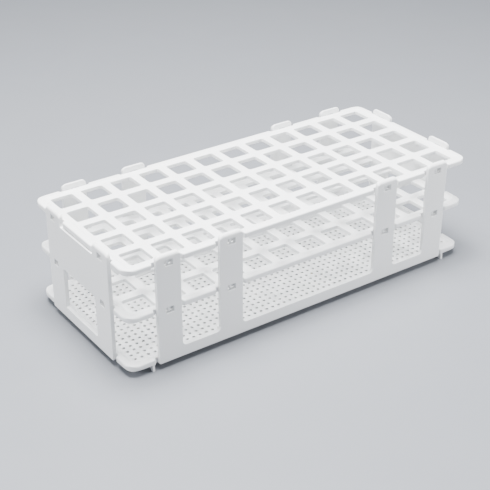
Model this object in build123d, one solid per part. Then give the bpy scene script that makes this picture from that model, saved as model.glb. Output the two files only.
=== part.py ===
"""Snap-together test tube rack: 60 square wells in 12 columns and 5 rows.

Millimetres. +Z is up, +X runs along the rack and -Y is its front. The origin is on
the table, under the middle of the rack. Three plates (top, middle, bottom) are held
one above the other by four upright panels that snap on from outside.
"""
from build123d import *
import os

# --- driving dimensions -------------------------------------------------------
COLUMNS = 12
ROWS = 5
PITCH = 19.5                    # from well to well, both ways
WELL = 14.0                     # side of a square well

# Plates
PLATE_LENGTH = 243.6
PLATE_WIDTH = 104.5
EAR_RADIUS = 7.0                # corner of a plate, seen from above
RIM_HEIGHT = 3.6                # depth of a plate's outer rim
WEB_THICKNESS = 2.3             # bars between the wells, centred in the rim
RIM_WIDTH = 4.0                 # from the plate's edge to where it thins to the web
NOTCH_ROUND = 1.1               # outer corners of the notches
EAR_END_ROUND = 0.9             # the same, at the ends of the bottom plate's ears
LIFT = 3.8                      # underside of the bottom plate above the table
MIDDLE_LEVEL = 34.6             # underside of the middle plate
TOP_LEVEL = 63.5                # underside of the top plate

# Perforated floor of the bottom plate
PERFORATION_PITCH = 4.22
PERFORATION_DIAMETER = 1.9
PERFORATION_COLUMNS = 55
PERFORATION_ROWS = 22
FLOOR_MARGIN = 2.4              # plain floor outside the last perforations

# Panels
PANEL_THICKNESS = 2.5
PANEL_PROUD = 0.8               # panels stand this far out past the plates
PANEL_GAP = 0.1                 # between a panel's inner face and the plates
PANEL_BOTTOM = 3.7
RAIL_HEIGHT = 6.9
TAB_TOP = 70.6                  # top of the tabs, above the top plate
TAB_ROUND = 2.5
WINDOW_ROUND = 1.0              # corners of a short panel's window
RAIL_ROUND = 2.5                # where a long panel's uprights meet its rail
SIDE_CLEARANCE = 1.8            # each side of an upright in its notch
LONG_UPRIGHTS = (-95.9, -55.8, 55.8, 95.9)
LONG_UPRIGHT_WIDTH = 15.2
SHORT_UPRIGHTS = (-26.8, 26.8)
SHORT_UPRIGHT_WIDTH = 16.4
WEB_GAP = 0.3                   # between a short panel's web and the top plate
WINDOW_TOP = 36.5               # top of the window in a short panel

# Narrow snap ribs on the plates' edges, in slots through the panels
SLOT_WIDTH = 5.3
SLOT_HEIGHT = 3.7
RIB_WIDTH = 1.4
RIB_HEIGHT = 3.0
RIB_REACH = 1.4                 # how far a rib stands out of the plate's edge
RIB_CHAMFER = 0.3

# Tongues of the bottom plate, in blind pockets inside the panels' rails
TONGUE_WIDTH = 5.0
TONGUE_HEIGHT = 1.6
TONGUE_REACH = 0.9
TONGUE_CLEARANCE = 0.2

# Feet under the bottom plate's ears
FOOT_WIDTH = 1.5
FOOT_DEPTH = 5.0
FOOT_FLAT = 2.0                 # bottom of a foot, on the table

# Making of the cuts and joints
ROOT = 1.0                      # how far a rib or tongue is buried in its plate
SPARE = 1.0                     # how far a cut starts outside the face that it enters
CLOSE = 0.01                    # corners nearer than this are the same corner

# --- worked-out places ----------------------------------------------------------
HALF_LENGTH = PLATE_LENGTH / 2
HALF_WIDTH = PLATE_WIDTH / 2
SHORT_PANEL_FACE = HALF_LENGTH + PANEL_PROUD
LONG_PANEL_FACE = HALF_WIDTH + PANEL_PROUD
SEAT_X = SHORT_PANEL_FACE - PANEL_THICKNESS - PANEL_GAP     # notch floors, plate ends
SEAT_Y = LONG_PANEL_FACE - PANEL_THICKNESS - PANEL_GAP      # notch floors, long edges
FIELD_X = (COLUMNS - 1) / 2 * PITCH + WELL / 2              # outer sides of the wells
FIELD_Y = (ROWS - 1) / 2 * PITCH + WELL / 2
BAR = PITCH - WELL                                          # width of the bars
RECESS = (RIM_HEIGHT - WEB_THICKNESS) / 2
LONG_PANEL_HALF = max(LONG_UPRIGHTS) + LONG_UPRIGHT_WIDTH / 2
SHORT_PANEL_HALF = max(SHORT_UPRIGHTS) + SHORT_UPRIGHT_WIDTH / 2
FLOOR_X = (PERFORATION_COLUMNS - 1) / 2 * PERFORATION_PITCH + FLOOR_MARGIN
FLOOR_Y = (PERFORATION_ROWS - 1) / 2 * PERFORATION_PITCH + FLOOR_MARGIN


def slab(x_range, y_range, z_range):
    """Box between two limits along each axis."""
    size = [high - low for low, high in (x_range, y_range, z_range)]
    centre = [(high + low) / 2 for low, high in (x_range, y_range, z_range)]
    return Pos(*centre) * Box(*size)


def plate_outline(long_notches, short_notches, corner_round):
    """Rounded rectangle with notches: (centre, width) pairs along each kind of edge."""
    outline = RectangleRounded(PLATE_LENGTH, PLATE_WIDTH, EAR_RADIUS)
    depth_x = HALF_LENGTH - SEAT_X
    depth_y = HALF_WIDTH - SEAT_Y
    corners = []
    for side in (-1, 1):
        for centre, width in long_notches:
            outline -= Pos(centre, side * (SEAT_Y + depth_y)) * Rectangle(width, 2 * depth_y)
            corners += [(centre - width / 2, side * HALF_WIDTH), (centre + width / 2, side * HALF_WIDTH)]
        for centre, width in short_notches:
            outline -= Pos(side * (SEAT_X + depth_x), centre) * Rectangle(2 * depth_x, width)
            corners += [(side * HALF_LENGTH, centre - width / 2), (side * HALF_LENGTH, centre + width / 2)]
    near = [vertex for vertex in outline.vertices()
            if any(abs(vertex.X - x) < CLOSE and abs(vertex.Y - y) < CLOSE for x, y in corners)]
    return fillet(near, corner_round)


def around_the_rack(places_long, places_short):
    """Locations on the seats of all four panels, each with local -Y pointing outwards."""
    front = [Pos(x, -SEAT_Y, 0) for x in places_long]
    back = [Pos(x, SEAT_Y, 0) * Rot(0, 0, 180) for x in places_long]
    left = [Pos(-SEAT_X, y, 0) * Rot(0, 0, -90) for y in places_short]
    right = [Pos(SEAT_X, y, 0) * Rot(0, 0, 90) for y in places_short]
    return front + back + left + right


def snap_rib(level):
    """Narrow upright rib with a chamfered face, at mid-height of a plate's edge."""
    middle = level + RIM_HEIGHT / 2
    z_range = (middle - RIB_HEIGHT / 2, middle + RIB_HEIGHT / 2)
    rib = slab((-RIB_WIDTH / 2, RIB_WIDTH / 2), (-RIB_REACH, ROOT), z_range)
    return chamfer(rib.faces().sort_by(Axis.Y)[0].edges(), RIB_CHAMFER)


def well_plate_rim(level, short_notches):
    """Outer frame of a well plate: full height at the edge, web height by the wells."""
    long_notch = LONG_UPRIGHT_WIDTH + 2 * SIDE_CLEARANCE
    outline = plate_outline([(x, long_notch) for x in LONG_UPRIGHTS], short_notches, NOTCH_ROUND)
    frame = outline - Rectangle(2 * FIELD_X, 2 * FIELD_Y)
    rim = Pos(0, 0, level) * extrude(frame, RIM_HEIGHT)
    thin = RectangleRounded(PLATE_LENGTH - 2 * RIM_WIDTH, PLATE_WIDTH - 2 * RIM_WIDTH,
                            EAR_RADIUS - RIM_WIDTH)
    rim -= Pos(0, 0, level) * extrude(thin, RECESS)
    rim -= Pos(0, 0, level + RIM_HEIGHT - RECESS) * extrude(thin, RECESS)
    rib = snap_rib(level)
    for place in around_the_rack(LONG_UPRIGHTS, SHORT_UPRIGHTS):
        rim += place * rib
    return rim


def well_plate_bars(level):
    """Bars between the wells: full-length row bars, and short column bars between them."""
    z_range = (level + RECESS, level + RECESS + WEB_THICKNESS)
    row_lines = [(row - (ROWS - 2) / 2) * PITCH for row in range(ROWS - 1)]
    column_lines = [(column - (COLUMNS - 2) / 2) * PITCH for column in range(COLUMNS - 1)]
    row_centres = [(row - (ROWS - 1) / 2) * PITCH for row in range(ROWS)]
    row_bars = [slab((-FIELD_X, FIELD_X), (y - BAR / 2, y + BAR / 2), z_range) for y in row_lines]
    column_bars = [slab((x - BAR / 2, x + BAR / 2), (y - WELL / 2, y + WELL / 2), z_range)
                   for x in column_lines for y in row_centres]
    return row_bars, column_bars


def feet():
    """Four small blades under the ends of the ears, tapering up into the rim."""
    side = Polyline((0, -LIFT), (FOOT_FLAT, -LIFT), (FOOT_DEPTH, 0), (0, 0), close=True)
    foot = extrude(Plane.YZ * make_face(side), FOOT_WIDTH / 2, both=True)
    foot_x = LONG_PANEL_HALF + SIDE_CLEARANCE + EAR_END_ROUND + FOOT_WIDTH / 2
    front = [Pos(x, -HALF_WIDTH, LIFT) * foot for x in (-foot_x, foot_x)]
    back = [Pos(x, HALF_WIDTH, LIFT) * Rot(0, 0, 180) * foot for x in (-foot_x, foot_x)]
    return front + back


def bottom_plate_rim():
    """Frame of the bottom plate: four ears, edges behind the rails, and tongues."""
    long_notch = [(0, 2 * (LONG_PANEL_HALF + SIDE_CLEARANCE))]
    short_notch = [(0, 2 * (SHORT_PANEL_HALF + SIDE_CLEARANCE))]
    frame = plate_outline(long_notch, short_notch, EAR_END_ROUND) - Rectangle(2 * FLOOR_X, 2 * FLOOR_Y)
    rim = Pos(0, 0, LIFT) * extrude(frame, RIM_HEIGHT)
    middle = LIFT + RIM_HEIGHT / 2
    tongue = slab((-TONGUE_WIDTH / 2, TONGUE_WIDTH / 2), (-TONGUE_REACH, ROOT),
                  (middle - TONGUE_HEIGHT / 2, middle + TONGUE_HEIGHT / 2))
    for place in around_the_rack(LONG_UPRIGHTS, SHORT_UPRIGHTS):
        rim += place * tongue
    return rim


def bottom_plate_floor():
    """Thin floor with a square grid of small round drain holes."""
    holes = GridLocations(PERFORATION_PITCH, PERFORATION_PITCH, PERFORATION_COLUMNS, PERFORATION_ROWS)
    plain = Rectangle(2 * FLOOR_X, 2 * FLOOR_Y).wire()
    drains = [Wire([Edge.make_circle(PERFORATION_DIAMETER / 2, Plane(place.position))]) for place in holes]
    floor = Face(plain, drains)
    return Pos(0, 0, LIFT + RECESS) * extrude(floor, WEB_THICKNESS, dir=(0, 0, 1))


def panel_body(outline, uprights):
    """Panel of a given outline, drawn in X and Z with its inner face on y = 0."""
    body = extrude(Plane.XZ * outline, PANEL_THICKNESS)
    slot = slab((-SLOT_WIDTH / 2, SLOT_WIDTH / 2), (-PANEL_THICKNESS - SPARE, SPARE),
                (-SLOT_HEIGHT / 2, SLOT_HEIGHT / 2))
    pocket_half_width = TONGUE_WIDTH / 2 + TONGUE_CLEARANCE
    pocket_half_height = TONGUE_HEIGHT / 2 + TONGUE_CLEARANCE
    pocket = slab((-pocket_half_width, pocket_half_width), (-TONGUE_REACH - TONGUE_CLEARANCE, SPARE),
                  (-pocket_half_height, pocket_half_height))
    for x in uprights:
        body -= Pos(x, 0, LIFT + RIM_HEIGHT / 2) * pocket
        for level in (MIDDLE_LEVEL, TOP_LEVEL):
            body -= Pos(x, 0, level + RIM_HEIGHT / 2) * slot
    return body


def upright(centre, width):
    """Outline of one upright from the panel's foot to its rounded tab."""
    height = TAB_TOP - PANEL_BOTTOM
    strip = Pos(centre, PANEL_BOTTOM + height / 2) * Rectangle(width, height)
    top = [vertex for vertex in strip.vertices() if abs(vertex.Y - TAB_TOP) < CLOSE]
    return fillet(top, TAB_ROUND)


def long_panel():
    """Bottom rail with four uprights that stand free above it."""
    rail = Pos(0, PANEL_BOTTOM + RAIL_HEIGHT / 2) * Rectangle(2 * LONG_PANEL_HALF, RAIL_HEIGHT)
    outline = Sketch() + [rail] + [upright(x, LONG_UPRIGHT_WIDTH) for x in LONG_UPRIGHTS]
    inner = [vertex for vertex in outline.vertices()
             if abs(vertex.Y - PANEL_BOTTOM - RAIL_HEIGHT) < CLOSE]
    return panel_body(fillet(inner, RAIL_ROUND), LONG_UPRIGHTS)


def short_panel():
    """Two uprights joined by a rail below, and by a web from above the window up."""
    web_top = TOP_LEVEL - WEB_GAP
    sheet = Pos(0, (PANEL_BOTTOM + web_top) / 2) * Rectangle(2 * SHORT_PANEL_HALF, web_top - PANEL_BOTTOM)
    window_half = max(SHORT_UPRIGHTS) - SHORT_UPRIGHT_WIDTH / 2
    window_bottom = PANEL_BOTTOM + RAIL_HEIGHT
    window = Pos(0, (window_bottom + WINDOW_TOP) / 2) * RectangleRounded(
        2 * window_half, WINDOW_TOP - window_bottom, WINDOW_ROUND)
    outline = Sketch() + [sheet] + [upright(x, SHORT_UPRIGHT_WIDTH) for x in SHORT_UPRIGHTS]
    return panel_body(outline - window, SHORT_UPRIGHTS)


def save(name, shape):
    """Write one node's STEP file, named after the node."""
    export_step(shape, os.path.join("parts", name + ".step"))


os.makedirs("parts", exist_ok=True)

short_notch_width = SHORT_UPRIGHT_WIDTH + 2 * SIDE_CLEARANCE
top_short_notches = [(y, short_notch_width) for y in SHORT_UPRIGHTS]
middle_short_notches = [(0, 2 * (SHORT_PANEL_HALF + SIDE_CLEARANCE))]

for plate, level, short_notches in (("top_plate", TOP_LEVEL, top_short_notches),
                                    ("middle_plate", MIDDLE_LEVEL, middle_short_notches)):
    row_bars, column_bars = well_plate_bars(level)
    save(plate + "_rim", well_plate_rim(level, short_notches))
    save(plate + "_row_bars", Compound(children=row_bars))
    save(plate + "_column_bars", Compound(children=column_bars))

save("bottom_plate_rim", bottom_plate_rim())
save("bottom_plate_floor", bottom_plate_floor())
save("bottom_plate_feet", Compound(children=feet()))

inner_x = SHORT_PANEL_FACE - PANEL_THICKNESS
inner_y = LONG_PANEL_FACE - PANEL_THICKNESS
save("front_panel", Pos(0, -inner_y, 0) * long_panel())
save("back_panel", Pos(0, inner_y, 0) * Rot(0, 0, 180) * long_panel())
save("left_panel", Pos(-inner_x, 0, 0) * Rot(0, 0, -90) * short_panel())
save("right_panel", Pos(inner_x, 0, 0) * Rot(0, 0, 90) * short_panel())
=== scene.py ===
"""Looks of a snap-together test tube rack, built around its CAD frame.

Metres. +X runs along the rack, -Y is its front and +Z is up. Each moulding is a set of
rounded outlines with an edge profile carried round them and flat faces between, drawn
flat and then placed. The three plates ride on the body "plates", and every side panel
rides on its own body.
"""
import math

import bpy
import numpy as np
from mathutils import Matrix, Vector
from mathutils.geometry import delaunay_2d_cdt


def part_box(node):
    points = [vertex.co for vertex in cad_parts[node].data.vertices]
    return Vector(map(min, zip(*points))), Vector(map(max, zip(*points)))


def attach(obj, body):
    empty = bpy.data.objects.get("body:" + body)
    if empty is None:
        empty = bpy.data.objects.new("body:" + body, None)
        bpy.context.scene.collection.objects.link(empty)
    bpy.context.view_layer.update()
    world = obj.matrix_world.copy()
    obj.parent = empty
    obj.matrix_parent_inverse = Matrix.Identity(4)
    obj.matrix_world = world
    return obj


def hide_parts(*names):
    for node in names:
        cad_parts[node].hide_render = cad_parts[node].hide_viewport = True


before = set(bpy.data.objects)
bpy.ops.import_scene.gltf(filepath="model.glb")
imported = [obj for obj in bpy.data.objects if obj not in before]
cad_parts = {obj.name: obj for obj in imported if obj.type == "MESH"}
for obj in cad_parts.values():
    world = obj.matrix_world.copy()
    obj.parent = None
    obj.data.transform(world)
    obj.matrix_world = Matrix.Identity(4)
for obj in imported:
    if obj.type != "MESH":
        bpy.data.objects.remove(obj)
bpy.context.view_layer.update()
MM = 0.001

# --- sizes worked out from the frame ------------------------------------------------
COLUMNS, ROWS = 12, 5
RIM_LOW, RIM_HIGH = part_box("top_plate_rim")
ROW_LOW, ROW_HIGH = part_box("top_plate_row_bars")
COLUMN_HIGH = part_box("top_plate_column_bars")[1]
FLOOR_LOW, FLOOR_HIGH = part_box("bottom_plate_floor")
FOOT_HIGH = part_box("bottom_plate_feet")[1]
FRONT_LOW, FRONT_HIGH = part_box("front_panel")
RIGHT_LOW, RIGHT_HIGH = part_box("right_panel")

PLATE_X, PLATE_Y = RIM_HIGH.x, RIM_HIGH.y       # half sizes of the plates
RIM_HEIGHT = RIM_HIGH.z - RIM_LOW.z
WEB_THICKNESS = ROW_HIGH.z - ROW_LOW.z
RECESS = (RIM_HEIGHT - WEB_THICKNESS) / 2       # step from the rim down to the web
WELL = ROW_HIGH.x - COLUMN_HIGH.x
PITCH = (2 * ROW_HIGH.x - WELL) / (COLUMNS - 1)
TOP_LEVEL = RIM_LOW.z                           # undersides of the plates
MIDDLE_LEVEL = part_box("middle_plate_rim")[0].z
BOTTOM_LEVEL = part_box("bottom_plate_rim")[0].z

LONG_HALF, SHORT_HALF = FRONT_HIGH.x, RIGHT_HIGH.y
LONG_INNER, SHORT_INNER = -FRONT_HIGH.y, RIGHT_LOW.x
PANEL_THICKNESS = FRONT_HIGH.y - FRONT_LOW.y
PANEL_BOTTOM, TAB_TOP = FRONT_LOW.z, FRONT_HIGH.z

# --- sizes that the CAD part states -------------------------------------------------
EAR_RADIUS = 7.0 * MM
RIM_WIDTH = 4.0 * MM
LONG_UPRIGHT = 15.2 * MM                        # widths of the uprights
SHORT_UPRIGHT = 16.4 * MM
SIDE_CLEARANCE = 1.8 * MM
PANEL_GAP = 0.1 * MM
RAIL_TOP = PANEL_BOTTOM + 6.9 * MM
WINDOW_TOP = 36.5 * MM
WEB_GAP = 0.3 * MM
WEB_TOP = TOP_LEVEL - WEB_GAP
SLOT = (5.3 * MM, 3.7 * MM)                     # along and up
SNAP_RIB = (1.4 * MM, 3.0 * MM, 1.4 * MM)       # along, up and outwards, as in TONGUE
TONGUE = (5.0 * MM, 1.6 * MM, 0.9 * MM)
TONGUE_CLEARANCE = 0.2 * MM
DRAIN_PITCH = 4.22 * MM
DRAIN_RADIUS = 0.95 * MM
DRAIN_COLUMNS, DRAIN_ROWS = 55, 22
FOOT_FLAT = 2.0 * MM
FOOT_DEPTH = 5.0 * MM
FOOT_THICKNESS = 1.5 * MM

LONG_OUTER_UPRIGHT = LONG_HALF - LONG_UPRIGHT / 2
LONG_INNER_UPRIGHT = 55.8 * MM
LONG_UPRIGHTS = (-LONG_OUTER_UPRIGHT, -LONG_INNER_UPRIGHT, LONG_INNER_UPRIGHT, LONG_OUTER_UPRIGHT)
SHORT_UPRIGHTS = (SHORT_UPRIGHT / 2 - SHORT_HALF, SHORT_HALF - SHORT_UPRIGHT / 2)
SEAT_X, SEAT_Y = SHORT_INNER - PANEL_GAP, LONG_INNER - PANEL_GAP

# --- roundings of the mouldings' edges ----------------------------------------------
PLATE_EDGE = 1.15 * MM                          # nearly round, out on the ears
SEAT_EDGE = 0.4 * MM                            # where a plate is narrow, behind a panel
EDGE_START, EDGE_RUN = 0.3 * MM, 1.2 * MM        # where a rim's edge grows from small to round
STEP_OUT, STEP_IN = 0.55 * MM, 1.2 * MM         # soft step from the rim to the web
NOTCH_CORNER = 1.1 * MM
EAR_END_CORNER = 0.9 * MM
SEAT_CORNER = 0.5 * MM
RAIL_CORNER = 2.5 * MM
WELL_EDGE = 0.3 * MM
WELL_CORNER = 1.5 * MM
PANEL_EDGE = 0.35 * MM
TAB_EDGE = 1.85 * MM
TAB_CORNER = 2.5 * MM
WINDOW_CORNER = 1.0 * MM
SMALL_EDGE = 0.15 * MM
RIB_EDGE = 0.3 * MM
TONGUE_EDGE = 0.2 * MM
SLOT_CORNER = 0.5 * MM
POCKET_CORNER = 0.3 * MM
PANEL_FOOT_CORNER = 0.6 * MM
FOOT_CORNER = 0.4 * MM
BLOCK_ROOT, FOOT_ROOT = 0.4 * MM, 0.3 * MM      # how far these run into the plate
EDGE_STEPS = 4
CORNER_SHARE = 0.8                              # a rim edge's radius over its corner's, at most
BLOCK_EDGE_SHARE = 0.9                          # a block or foot edge's radius over its corner's
DRAIN_EDGE = 0.12 * MM
DRAIN_SIDES = 12
SHARP_ANGLE = math.radians(38)
WELD_GRID = 0.002 * MM
CAP_TOLERANCE = 1e-5                            # in millimetres
CAP_TRIANGLES_INSIDE = 1                        # output type of the triangulation


# --- outlines -------------------------------------------------------------------------
class Outline:
    """Closed loop of points, anticlockwise, with the outward normal at each point.

    room is the most that each point may move inwards, which is an outward corner's radius.
    """

    def __init__(self, points, normals, room):
        self.points = points
        self.normals = normals
        self.room = room

    def offset(self, distance):
        """The loop's points moved outwards by a distance, which may differ per point."""
        return self.points + np.reshape(distance, (-1, 1)) * self.normals

    def moved(self, x, y):
        """The same loop with its origin at (x, y)."""
        return Outline(self.points + (x, y), self.normals, self.room)


def rounded(corners, steps=6):
    """Outline through (x, y, radius) corners, anticlockwise, each rounded by an arc.

    An arc's centre lies one radius along the inner normal from where the incoming side
    touches it, or along the outer normal at an inward corner, and the normal turns evenly
    from one side's to the next's.
    """
    data = np.array(corners, float)
    place, radius = data[:, :2], data[:, 2:]
    ahead = np.roll(place, -1, 0) - place
    ahead /= np.linalg.norm(ahead, axis=1, keepdims=True)
    behind = np.roll(ahead, 1, 0)
    turn = np.arctan2(behind[:, 0] * ahead[:, 1] - behind[:, 1] * ahead[:, 0],
                      (behind * ahead).sum(1))[:, None]
    start = place - behind * radius * np.tan(np.abs(turn) / 2)
    side = np.stack([behind[:, 1], -behind[:, 0]], 1)
    centre = start - np.sign(turn) * radius * side
    angle = turn * np.linspace(0, 1, steps + 1)
    normal = np.stack([side[:, :1] * np.cos(angle) - side[:, 1:] * np.sin(angle),
                       side[:, :1] * np.sin(angle) + side[:, 1:] * np.cos(angle)], 2)
    points = centre[:, None] + (np.sign(turn) * radius)[:, None] * normal
    room = np.repeat(np.where(turn > 0, radius, np.inf), steps + 1)
    return Outline(points.reshape(-1, 2), normal.reshape(-1, 2), room)


def rounded_box(half_x, half_y, radius, steps=6):
    """Rounded rectangle about the origin."""
    return rounded([(-half_x, -half_y, radius), (half_x, -half_y, radius),
                    (half_x, half_y, radius), (-half_x, half_y, radius)], steps)


def circle(radius, sides):
    """Circle about the origin, of a number of straight sides."""
    angle = np.arange(sides) * 2 * math.pi / sides
    normal = np.stack([np.cos(angle), np.sin(angle)], 1)
    return Outline(radius * normal, normal, np.full(sides, radius))


def plate_outline(long_notches, short_notches, notch_corner):
    """Rounded rectangle whose edges have (centre, width) notches for the panels."""
    corners = []
    edges = ((PLATE_X, PLATE_Y, SEAT_Y, long_notches), (PLATE_Y, PLATE_X, SEAT_X, short_notches))
    for quarter in range(4):
        half, edge, seat, notches = edges[quarter % 2]
        across = [(-half, -edge, EAR_RADIUS)]
        for centre, width in notches:
            low, high = centre - width / 2, centre + width / 2
            across += [(low, -edge, notch_corner), (low, -seat, SEAT_CORNER),
                       (high, -seat, SEAT_CORNER), (high, -edge, notch_corner)]
        cos, sin = (1, 0, -1, 0)[quarter], (0, 1, 0, -1)[quarter]
        corners += [(x * cos - y * sin, x * sin + y * cos, radius) for x, y, radius in across]
    return rounded(corners)


# --- meshes ---------------------------------------------------------------------------
class Moulding:
    """Walls and flat faces of one moulding, welded into a closed mesh at the end."""

    def __init__(self):
        self.points, self.wear, self.faces = [], [], []
        self.count = 0

    def add(self, points, wear, faces):
        """Adds points, how exposed each one is from 0 to 1, and faces that number them."""
        self.points.append(points)
        self.wear.append(wear)
        self.faces += (faces + self.count).tolist()
        self.count += len(points)

    def sweep(self, outline, insets, heights, wear, hole=False):
        """Grid: point (i, j) is outline point i, moved inwards by inset j, at height j.

        In a hole the material is outside the loop, so the inset goes outwards.
        """
        loop, steps = len(outline.points), insets.shape[-1]
        insets = np.broadcast_to(insets, (loop, steps))
        heights = np.broadcast_to(heights, (loop, steps))
        sign = 1 if hole else -1
        flat = outline.points[:, None] + sign * insets[..., None] * outline.normals[:, None]
        grid = np.concatenate([flat, heights[..., None]], 2).reshape(-1, 3)
        i, j = np.meshgrid(np.arange(loop), np.arange(steps - 1), indexing="ij")
        here, there = i * steps + j, (i + 1) % loop * steps + j
        faces = np.stack([here, here + 1, there + 1, there], 2).reshape(-1, 4)
        self.add(grid, np.tile(wear, loop), faces[:, ::-1] if hole else faces)

    def wall(self, outline, top, bottom, top_edge, bottom_edge, hole=False):
        """Upright wall whose top and bottom edges are quarter circles of given radii."""
        angle = np.linspace(0, math.pi / 2, EDGE_STEPS + 1)
        inset, drop = 1 - np.sin(angle), 1 - np.cos(angle)
        top_edge, bottom_edge = np.reshape(top_edge, (-1, 1)), np.reshape(bottom_edge, (-1, 1))
        top_edge, bottom_edge = np.broadcast_arrays(top_edge, bottom_edge)
        insets = np.concatenate([inset * top_edge, inset[::-1] * bottom_edge], 1)
        heights = np.concatenate([top - drop * top_edge, bottom + drop[::-1] * bottom_edge], 1)
        worn = np.sin(2 * angle)
        self.sweep(outline, insets, heights, np.concatenate([worn, worn[::-1]]), hole)

    def cap(self, loops, height, up=True):
        """Flat face inside the first loop and outside the others, in triangles."""
        points = np.concatenate(loops)
        starts = np.cumsum([0] + [len(loop) for loop in loops])
        rings = [list(range(a, b)) for a, b in zip(starts[:-1], starts[1:])]
        edges = [(a, b) for ring in rings for a, b in zip(ring, ring[1:] + ring[:1])]
        flat = [Vector(p) for p in points / MM]
        found = delaunay_2d_cdt(flat, edges, [], CAP_TRIANGLES_INSIDE, CAP_TOLERANCE)
        source = np.array([origin[0] for origin in found[3]])
        faces = source[np.array(found[2])]
        ring = np.repeat(np.arange(len(loops)), [len(loop) for loop in loops])[faces]
        in_hole = (ring[:, 0] > 0) & (ring == ring[:, :1]).all(1)
        faces = faces[~in_hole]
        a, b, c = (points[faces[:, k]] for k in range(3))
        area = (b - a)[:, 0] * (c - a)[:, 1] - (b - a)[:, 1] * (c - a)[:, 0]
        faces = np.where((area > 0)[:, None] == up, faces, faces[:, ::-1])
        solid = np.concatenate([points, np.full((len(points), 1), height)], 1)
        self.add(solid, np.zeros(len(points)), faces)

    def slab(self, outline, bottom, top, edge):
        """Solid flat slab: a wall all round, and a cap above and below."""
        self.wall(outline, top, bottom, edge, edge)
        inner = outline.offset(-edge)
        self.cap([inner], top)
        self.cap([inner], bottom, up=False)

    def placed(self, other, matrix):
        """Adds another moulding's faces, moved by a matrix."""
        points = np.concatenate(other.points)
        turn = np.array(matrix)
        self.points.append(points @ turn[:3, :3].T + turn[:3, 3])
        self.wear.append(np.concatenate(other.wear))
        self.faces += [[v + self.count for v in face] for face in other.faces]
        self.count += len(points)

    def piece(self, name, body, material, nodes):
        """Welds points that meet, and makes the object that stands for the CAD nodes."""
        points, wear = np.concatenate(self.points), np.concatenate(self.wear)
        key = np.round(points / WELD_GRID).astype(np.int64)
        _, first, number = np.unique(key, axis=0, return_index=True, return_inverse=True)
        number = number.reshape(-1)
        faces = []
        for face in self.faces:
            merged = list(dict.fromkeys(number[face].tolist()))
            if len(merged) > 2:
                faces.append(merged)
        mesh = bpy.data.meshes.new(name)
        mesh.from_pydata(points[first].tolist(), [], faces)
        mesh.attributes.new("wear", "FLOAT", "POINT").data.foreach_set(
            "value", wear[first].astype(np.float32))
        mesh.polygons.foreach_set("use_smooth", [True] * len(mesh.polygons))
        mesh.set_sharp_from_angle(angle=SHARP_ANGLE)
        mesh.materials.append(material)
        obj = bpy.data.objects.new(name, mesh)
        bpy.context.scene.collection.objects.link(obj)
        smooth = obj.modifiers.new("flat_faces", "WEIGHTED_NORMAL")
        smooth.keep_sharp = True
        smooth.weight = 100
        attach(obj, body)
        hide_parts(*nodes)
        return obj


def axes_matrix(x_axis, y_axis, z_axis, origin):
    """Matrix that carries a flat drawing's three axes to directions in the rack."""
    matrix = Matrix.Identity(4)
    for column, vector in enumerate((x_axis, y_axis, z_axis, origin)):
        for row in range(3):
            matrix[row][column] = vector[row]
    return matrix


def panel_places(inner_x, inner_y):
    """How a panel's drawing (along, up, outwards) is placed, for each of the four sides."""
    up = (0, 0, 1)
    return {"front": axes_matrix((1, 0, 0), up, (0, -1, 0), (0, -inner_y, 0)),
            "back": axes_matrix((-1, 0, 0), up, (0, 1, 0), (0, inner_y, 0)),
            "left": axes_matrix((0, -1, 0), up, (-1, 0, 0), (-inner_x, 0, 0)),
            "right": axes_matrix((0, 1, 0), up, (1, 0, 0), (inner_x, 0, 0))}


def block(size, edge):
    """Small rounded block of a size along, up and outwards, whose root is in the plate."""
    width, height, reach = size
    shape = Moulding()
    outline = rounded_box(width / 2, height / 2, edge, steps=3)
    shape.slab(outline, -BLOCK_ROOT, reach, edge * BLOCK_EDGE_SHARE)
    return shape


def add_blocks(plate, size, level, edge):
    """Puts the same small block on the plate's edge behind every upright."""
    shape = block(size, edge)
    places = panel_places(SEAT_X, SEAT_Y)
    for side, uprights in (("front", LONG_UPRIGHTS), ("back", LONG_UPRIGHTS),
                           ("left", SHORT_UPRIGHTS), ("right", SHORT_UPRIGHTS)):
        for along in uprights:
            place = Matrix.Translation((along, level + RIM_HEIGHT / 2, 0))
            plate.placed(shape, places[side] @ place)


def eased(first, second, share):
    """Smooth step from the first value at a share of 0 to the second at 1, level past both."""
    share = np.clip(share, 0, 1)
    return first + (second - first) * share * share * (3 - 2 * share)


def rim_edges(outline):
    """Radius of a rim's edge: nearly round on the ears, small on the seats of the panels.

    It grows with how far a point stands out past the seats, and stays under the radius of
    the corner that it follows.
    """
    past_x = np.abs(outline.points[:, 0]) - SEAT_X
    past_y = np.abs(outline.points[:, 1]) - SEAT_Y
    share = (np.maximum(past_x, past_y) - EDGE_START) / EDGE_RUN
    return np.minimum(eased(SEAT_EDGE, PLATE_EDGE, share), CORNER_SHARE * outline.room)


def rim_and_step(plate, outline, level):
    """Rim of a plate, and the step down to its web. Returns the loop where the web begins.

    The step is half a cosine wave, from a little outside the rim's inner outline to
    further in.
    """
    top, edges = level + RIM_HEIGHT, rim_edges(outline)
    inner = rounded_box(PLATE_X - RIM_WIDTH, PLATE_Y - RIM_WIDTH, EAR_RADIUS - RIM_WIDTH)
    plate.wall(outline, top, level, edges, edges)
    band = [outline.offset(-edges), inner.offset(STEP_OUT)]
    plate.cap(band, top)
    plate.cap(band, level, up=False)
    share = np.linspace(0, 1, 2 * EDGE_STEPS + 1)
    inset = STEP_OUT - (STEP_OUT + STEP_IN) * share
    drop = RECESS * (1 - np.cos(math.pi * share)) / 2
    worn = (1 - share) * (share > 0)
    plate.sweep(inner, inset, top - drop, worn, hole=True)
    plate.sweep(inner, inset[::-1], (level + drop)[::-1], worn[::-1], hole=True)
    return inner.offset(-STEP_IN)


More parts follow.
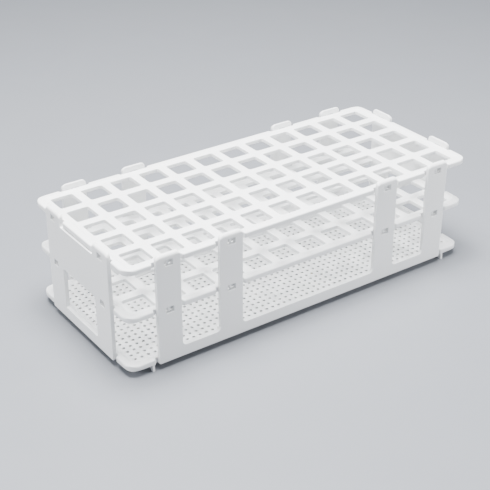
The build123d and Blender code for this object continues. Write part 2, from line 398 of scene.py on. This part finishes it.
def grid(outline, columns, rows, pitch):
    """Copies of an outline in a centred grid."""
    return [outline.moved((column - (columns - 1) / 2) * pitch, (row - (rows - 1) / 2) * pitch)
            for column in range(columns) for row in range(rows)]


def well_plate(name, level, short_notches, material):
    """Top or middle plate: rim, web and 60 wells in one piece."""
    plate = Moulding()
    notch = LONG_UPRIGHT + 2 * SIDE_CLEARANCE
    outline = plate_outline([(x, notch) for x in LONG_UPRIGHTS], short_notches, NOTCH_CORNER)
    web = rim_and_step(plate, outline, level)
    wells = grid(rounded_box(WELL / 2, WELL / 2, WELL_CORNER), COLUMNS, ROWS, PITCH)
    openings = [well.offset(WELL_EDGE) for well in wells]
    top, bottom = level + RIM_HEIGHT - RECESS, level + RECESS
    plate.cap([web] + openings, top)
    plate.cap([web] + openings, bottom, up=False)
    for well in wells:
        plate.wall(well, top, bottom, WELL_EDGE, WELL_EDGE, hole=True)
    add_blocks(plate, SNAP_RIB, level, RIB_EDGE)
    nodes = [name + part for part in ("_rim", "_row_bars", "_column_bars")]
    return plate.piece(name, "plates", material, nodes)


def bottom_plate(material):
    """Bottom plate: rim with four ears, perforated floor, feet and tongues."""
    plate = Moulding()
    long_notch = [(0, 2 * (LONG_HALF + SIDE_CLEARANCE))]
    short_notch = [(0, 2 * (SHORT_HALF + SIDE_CLEARANCE))]
    outline = plate_outline(long_notch, short_notch, EAR_END_CORNER)
    web = rim_and_step(plate, outline, BOTTOM_LEVEL)
    drains = grid(circle(DRAIN_RADIUS, DRAIN_SIDES), DRAIN_COLUMNS, DRAIN_ROWS, DRAIN_PITCH)
    top, bottom = FLOOR_HIGH.z, FLOOR_LOW.z
    plate.cap([web] + [hole.offset(DRAIN_EDGE) for hole in drains], top)
    plate.cap([web] + [hole.points for hole in drains], bottom, up=False)
    inset, height = np.array([DRAIN_EDGE, 0, 0]), np.array([top, top - DRAIN_EDGE, bottom])
    for hole in drains:
        plate.sweep(hole, inset, height, np.zeros(3), hole=True)
    add_blocks(plate, TONGUE, BOTTOM_LEVEL, TONGUE_EDGE)
    add_feet(plate)
    nodes = ("bottom_plate_rim", "bottom_plate_floor", "bottom_plate_feet")
    return plate.piece("bottom_plate", "plates", material, nodes)


def add_feet(plate):
    """Four thin blades under the ears, upright outside and tapering up inwards."""
    root_top = BOTTOM_LEVEL + FOOT_ROOT
    side = rounded([(0, 0, SMALL_EDGE), (FOOT_FLAT, 0, FOOT_CORNER),
                    (FOOT_DEPTH, BOTTOM_LEVEL, SMALL_EDGE), (FOOT_DEPTH, root_top, SMALL_EDGE),
                    (FOOT_ROOT, root_top, SMALL_EDGE)], steps=3)
    blade = Moulding()
    blade.slab(side, -FOOT_THICKNESS / 2, FOOT_THICKNESS / 2, SMALL_EDGE * BLOCK_EDGE_SHARE)
    foot_x = FOOT_HIGH.x - FOOT_THICKNESS / 2
    for x in (-foot_x, foot_x):
        plate.placed(blade, axes_matrix((0, 1, 0), (0, 0, 1), (1, 0, 0), (x, -PLATE_Y, 0)))
        plate.placed(blade, axes_matrix((0, -1, 0), (0, 0, 1), (-1, 0, 0), (x, PLATE_Y, 0)))


# --- side panels ------------------------------------------------------------------------
def panel_outline(half, uprights, width, between, corner):
    """Panel seen from outside: flat foot, rounded tabs, and a sunk edge between uprights."""
    corners = [(-half, PANEL_BOTTOM, PANEL_FOOT_CORNER), (half, PANEL_BOTTOM, PANEL_FOOT_CORNER)]
    for number, centre in enumerate(sorted(uprights, reverse=True)):
        low, high = centre - width / 2, centre + width / 2
        if number:
            corners.append((high, between, corner))
        corners += [(high, TAB_TOP, TAB_CORNER), (low, TAB_TOP, TAB_CORNER)]
        if number < len(uprights) - 1:
            corners.append((low, between, corner))
    return rounded(corners)


def tab_edges(outline):
    """Radius of the outer edge: small low down, growing to a soft roll at the tab's top."""
    share = (outline.points[:, 1] - (TAB_TOP - TAB_CORNER)) / TAB_CORNER
    return eased(PANEL_EDGE, TAB_EDGE, share)


def side_panel(side, outline, windows, uprights, material):
    """A panel with a through slot at each rib and a blind pocket for each tongue."""
    slot = rounded_box(SLOT[0] / 2, SLOT[1] / 2, SLOT_CORNER, steps=4)
    levels = [level + RIM_HEIGHT / 2 for level in (MIDDLE_LEVEL, TOP_LEVEL)]
    slots = [slot.moved(x, level) for x in uprights for level in levels]
    pocket = rounded_box(TONGUE[0] / 2 + TONGUE_CLEARANCE, TONGUE[1] / 2 + TONGUE_CLEARANCE,
                         POCKET_CORNER, steps=3)
    pockets = [pocket.moved(x, BOTTOM_LEVEL + RIM_HEIGHT / 2) for x in uprights]
    pocket_depth = TONGUE[2] + TONGUE_CLEARANCE
    roll = tab_edges(outline)
    panel = Moulding()
    panel.wall(outline, PANEL_THICKNESS, 0, roll, PANEL_EDGE)
    cuts = windows + slots
    for hole in cuts:
        panel.wall(hole, PANEL_THICKNESS, 0, SMALL_EDGE, SMALL_EDGE, hole=True)
    openings = [hole.offset(SMALL_EDGE) for hole in cuts]
    panel.cap([outline.offset(-roll)] + openings, PANEL_THICKNESS)
    inner_openings = openings + [hole.points for hole in pockets]
    panel.cap([outline.offset(-PANEL_EDGE)] + inner_openings, 0, up=False)
    for hole in pockets:
        panel.sweep(hole, np.zeros((1, 2)), np.array([[pocket_depth, 0]]), np.zeros(2), hole=True)
        panel.cap([hole.points], pocket_depth, up=False)
    placed = Moulding()
    placed.placed(panel, panel_places(SHORT_INNER, LONG_INNER)[side])
    body = side + "_panel"
    return placed.piece(body + "_moulding", body, material, [body])


# --- materials --------------------------------------------------------------------------
class Value:
    """A shader socket that can be used in Python arithmetic."""

    def __init__(self, shader, socket):
        self.shader = shader
        self.socket = socket

    def _math(self, operation, first, second):
        return self.shader.node("ShaderNodeMath", {"operation": operation}, {0: first, 1: second})

    def __add__(self, other):
        return self._math("ADD", self, other)

    def __radd__(self, other):
        return self._math("ADD", other, self)

    def __sub__(self, other):
        return self._math("SUBTRACT", self, other)

    def __mul__(self, other):
        return self._math("MULTIPLY", self, other)


class Shader:
    """A new material's node tree, with one method that makes every node."""

    def __init__(self, name):
        self.material = bpy.data.materials.new(name)
        self.material.use_nodes = True
        self.tree = self.material.node_tree
        self.tree.nodes.clear()

    def node(self, kind, settings, sockets, output=0):
        """Makes a node, sets it, fills its sockets and returns one of its outputs."""
        made = self.tree.nodes.new(kind)
        for key, setting in settings.items():
            if key == "stops":
                for element, (position, shade) in zip(made.color_ramp.elements, setting):
                    element.position = position
                    element.color = (shade, shade, shade, 1)
            else:
                setattr(made, key, setting)
        for key, value in sockets.items():
            if isinstance(value, Value):
                self.tree.links.new(value.socket, made.inputs[key])
            else:
                made.inputs[key].default_value = value
        return Value(self, made.outputs[output])

    def finish(self, surface):
        """Shows the finished surface."""
        end = self.tree.nodes.new("ShaderNodeOutputMaterial")
        self.tree.links.new(surface.socket, end.inputs["Surface"])


def noise(shader, place, scale, detail=3.0, roughness=0.5):
    """Noise of a number of waves per metre."""
    return shader.node("ShaderNodeTexNoise", {}, {
        "Vector": place, "Scale": scale, "Detail": detail, "Roughness": roughness})


def colours(shader, factor, first, second):
    """Colour that goes from the first to the second as the factor goes from 0 to 1.

    A Mix node has several sockets of one name, so its colour sockets go by number.
    """
    return shader.node("ShaderNodeMix", {"data_type": "RGBA"},
                       {0: factor, 6: first, 7: second}, output=2)


def satin_polypropylene(name, roughness, grain_depth, shade):
    """White moulded polypropylene: cloudy flow marks, fine grain and slightly worn edges."""
    shader = Shader(name)
    place = shader.node("ShaderNodeTexCoord", {}, {}, output="Object")
    flow = noise(shader, place, 26.0, detail=4.0, roughness=0.55)
    cloud = noise(shader, place, 9.0, detail=2.0)
    grain = noise(shader, place, 2600.0, detail=2.0)
    handling = noise(shader, place, 140.0, detail=5.0, roughness=0.65)
    wear = shader.node("ShaderNodeAttribute", {"attribute_name": "wear"}, {}, output="Fac")
    dull = shader.node("ShaderNodeValToRGB", {"stops": ((0.42, 0.0), (0.72, 1.0))},
                       {"Fac": handling})
    colour_mix = flow * 0.6 + cloud * 0.4
    cool = (0.80 * shade, 0.815 * shade, 0.82 * shade, 1)
    warm = (0.90 * shade, 0.90 * shade, 0.895 * shade, 1)
    white = colours(shader, colour_mix, cool, warm)
    worn_white = colours(shader, wear * 0.35, white, (0.93, 0.935, 0.94, 1))
    gloss = roughness + flow * 0.08 + dull * 0.1 - wear * 0.08
    height = grain * 0.35 + handling * 0.35 + flow * 0.9
    bump = shader.node("ShaderNodeBump", {}, {
        "Strength": 0.55, "Distance": grain_depth, "Height": height}, output="Normal")
    surface = shader.node("ShaderNodeBsdfPrincipled", {}, {
        "Base Color": worn_white, "Roughness": gloss, "Normal": bump, "IOR": 1.49,
        "Subsurface Weight": 0.15, "Subsurface Radius": (1.0, 0.95, 0.9),
        "Subsurface Scale": 0.9 * MM, "Specular IOR Level": 0.5, "Sheen Weight": 0.05})
    shader.finish(surface)
    return shader.material


# --- the rack ---------------------------------------------------------------------------
plate_plastic = satin_polypropylene("plate_polypropylene", 0.34, 0.05 * MM, 1.0)
floor_plastic = satin_polypropylene("floor_polypropylene", 0.38, 0.05 * MM, 0.99)
panel_plastic = satin_polypropylene("panel_polypropylene", 0.36, 0.07 * MM, 0.98)

top_notches = [(y, SHORT_UPRIGHT + 2 * SIDE_CLEARANCE) for y in SHORT_UPRIGHTS]
middle_notches = [(0, 2 * (SHORT_HALF + SIDE_CLEARANCE))]
well_plate("top_plate", TOP_LEVEL, top_notches, plate_plastic)
well_plate("middle_plate", MIDDLE_LEVEL, middle_notches, plate_plastic)
bottom_plate(floor_plastic)

long_outline = panel_outline(LONG_HALF, LONG_UPRIGHTS, LONG_UPRIGHT, RAIL_TOP, RAIL_CORNER)
short_outline = panel_outline(SHORT_HALF, SHORT_UPRIGHTS, SHORT_UPRIGHT, WEB_TOP, WINDOW_CORNER)
window_half = SHORT_HALF - SHORT_UPRIGHT
window = rounded_box(window_half, (WINDOW_TOP - RAIL_TOP) / 2, WINDOW_CORNER)
window = window.moved(0, (WINDOW_TOP + RAIL_TOP) / 2)
for side in ("front", "back"):
    side_panel(side, long_outline, [], LONG_UPRIGHTS, panel_plastic)
for side in ("left", "right"):
    side_panel(side, short_outline, [window], SHORT_UPRIGHTS, panel_plastic)

# --- floor, light and camera ------------------------------------------------------------
TABLE_HALF = 6.0
table_shader = Shader("pale_table")
table_place = table_shader.node("ShaderNodeTexCoord", {}, {}, output="Object")
table_mottle = noise(table_shader, table_place, 30.0)
table_colour = colours(table_shader, table_mottle, (0.19, 0.2, 0.22, 1), (0.2, 0.21, 0.23, 1))
table_surface = table_shader.node("ShaderNodeBsdfPrincipled", {}, {
    "Base Color": table_colour, "Roughness": 0.4})
table_shader.finish(table_surface)
table_mesh = bpy.data.meshes.new("table")
table_corners = [(-TABLE_HALF, -TABLE_HALF, 0), (TABLE_HALF, -TABLE_HALF, 0),
                 (TABLE_HALF, TABLE_HALF, 0), (-TABLE_HALF, TABLE_HALF, 0)]
table_mesh.from_pydata(table_corners, [], [(0, 1, 2, 3)])
table_mesh.materials.append(table_shader.material)
table = bpy.data.objects.new("table", table_mesh)
bpy.context.scene.collection.objects.link(table)

world = bpy.data.worlds.new("studio")
world.use_nodes = True
background = world.node_tree.nodes["Background"]
background.inputs["Color"].default_value = (0.85, 0.9, 1.0, 1)
background.inputs["Strength"].default_value = 0.42
bpy.context.scene.world = world


def softbox(name, place, aim, size, watts):
    """Square area light at a place, facing an aim point."""
    light = bpy.data.lights.new(name, "AREA")
    light.size = size
    light.energy = watts
    obj = bpy.data.objects.new(name, light)
    bpy.context.scene.collection.objects.link(obj)
    obj.location = place
    obj.rotation_euler = (Vector(aim) - Vector(place)).to_track_quat("-Z", "Y").to_euler()


softbox("overhead", (-0.05, 0.05, 0.9), (0, 0, 0.05), 0.5, 49)
softbox("left_key", (-0.95, 0.05, 0.45), (0, 0, 0.04), 0.35, 7.5)
softbox("right_front_fill", (0.5, -0.42, 0.22), (0.05, -0.05, 0.03), 0.25, 4)

CAMERA_AZIMUTH = math.radians(-35.23)
CAMERA_ELEVATION = math.radians(29.19)
CAMERA_AIM = Vector((-1.5, 11.4, 16.1)) * MM
CAMERA_DISTANCE = 718.2 * MM
level_reach = math.cos(CAMERA_ELEVATION)
back = Vector((math.sin(CAMERA_AZIMUTH) * level_reach, -math.cos(CAMERA_AZIMUTH) * level_reach,
               math.sin(CAMERA_ELEVATION)))
across = Vector((0, 0, 1)).cross(back).normalized()
view = axes_matrix(across, back.cross(across), back, CAMERA_AIM + CAMERA_DISTANCE * back)
camera = bpy.data.objects.new("camera", bpy.data.cameras.new("camera"))
camera.data.lens = 84.6
camera.data.sensor_width = 36.0
camera.data.clip_start = 0.01
camera.matrix_world = view
bpy.context.scene.collection.objects.link(camera)
bpy.context.scene.camera = camera
